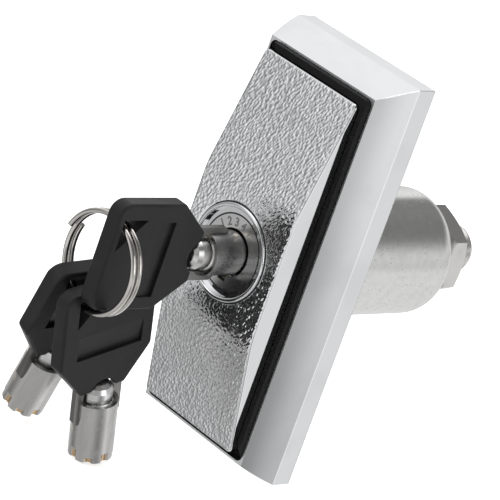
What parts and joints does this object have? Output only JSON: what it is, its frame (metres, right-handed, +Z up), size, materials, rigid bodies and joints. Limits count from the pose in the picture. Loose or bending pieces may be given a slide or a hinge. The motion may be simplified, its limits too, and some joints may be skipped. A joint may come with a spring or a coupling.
{
  "type": "candy machine lock",
  "caption": "Pop-out handle lock for a vending machine door, with a tubular cylinder, its key and two spare keys on a split ring.",
  "frame": {"origin": "lock axis at the back face of the plate", "axes": "+Y along the barrel into the door, +X across the plate, +Z up along the plate"},
  "size_m": [0.0421, 0.1021, 0.0891],
  "materials": {
    "chromed_zinc": "polished chrome on cast zinc, the barrel left satin",
    "black_rubber": "matte moulded rubber",
    "bronze": "machined bronze",
    "zinc_plated_steel": "bright zinc plating",
    "spring_steel": "drawn spring steel",
    "nickelled_brass": "nickel plating on brass, a little worn",
    "brass": "machined brass",
    "nickelled_steel": "bright nickel plating",
    "black_plastic": "fine matte moulded plastic"
  },
  "bodies": {
    "housing_body": {"housing": "chromed_zinc", "recess_gasket": "black_rubber", "rear_bushing": "bronze", "drive_shaft": "zinc_plated_steel", "shaft_clip": "spring_steel", "hex_nut": "zinc_plated_steel", "return_spring": "spring_steel"},
    "handle_body": {"handle": "chromed_zinc", "stem_end_cap": "zinc_plated_steel", "lock_collar": "chromed_zinc", "cylinder_shell": "nickelled_brass", "pin_bushing": "brass", "driver_pins": "brass", "driver_springs": "spring_steel", "cylinder_set_pin": "spring_steel"},
    "spindle_body": {"spindle": "nickelled_brass", "key_pins": "brass", "locking_cam": "zinc_plated_steel"},
    "bolt_body": {"locking_bolt": "zinc_plated_steel"},
    "key_body": {"main_key_tube": "nickelled_brass", "main_key_post": "nickelled_brass", "main_key_tang": "nickelled_steel", "main_key_head": "black_plastic"},
    "ring_body": {"split_ring": "nickelled_steel"},
    "spare_key_1_body": {"spare_key_1_tube": "nickelled_brass", "spare_key_1_post": "nickelled_brass", "spare_key_1_tang": "nickelled_steel", "spare_key_1_head": "black_plastic"},
    "spare_key_2_body": {"spare_key_2_tube": "nickelled_brass", "spare_key_2_post": "nickelled_brass", "spare_key_2_tang": "nickelled_steel", "spare_key_2_head": "black_plastic"}
  },
  "joints": [
    {"name": "handle_pop", "type": "slide", "parent": "housing_body", "child": "handle_body", "axis": [0, -1, 0], "range_m": [0, 0.012], "deforming": ["return_spring"]},
    {"name": "key_turn", "type": "hinge", "parent": "handle_body", "child": "spindle_body", "pos_m": [0, -0.0152, 0], "axis": [0, 1, 0], "range_deg": [0, 90]},
    {"name": "bolt_throw", "type": "slide", "parent": "handle_body", "child": "bolt_body", "axis": [0, 0, 1], "range_m": [0, 0.00184]},
    {"name": "key_withdraw", "type": "slide", "parent": "spindle_body", "child": "key_body", "axis": [0, -1, 0], "range_m": [0, 0.016]},
    {"name": "ring_swing", "type": "hinge", "parent": "key_body", "child": "ring_body", "pos_m": [0, -0.05069, 0.00599], "axis": [1, 0, 0], "range_deg": [-25, 8]},
    {"name": "spare_key_1_swing", "type": "hinge", "parent": "ring_body", "child": "spare_key_1_body", "pos_m": [-0.0041, -0.04996, -0.01274], "axis": [1, 0, 0], "range_deg": [-30, 3]},
    {"name": "spare_key_2_swing", "type": "hinge", "parent": "ring_body", "child": "spare_key_2_body", "pos_m": [-0.00938, -0.04981, -0.01017], "axis": [0.9455, 0, -0.3256], "range_deg": [-30, 3]}
  ],
  "couplings": [
    {"joint": "bolt_throw", "follows": "key_turn", "m_per_rad": 0.00117}
  ]
}
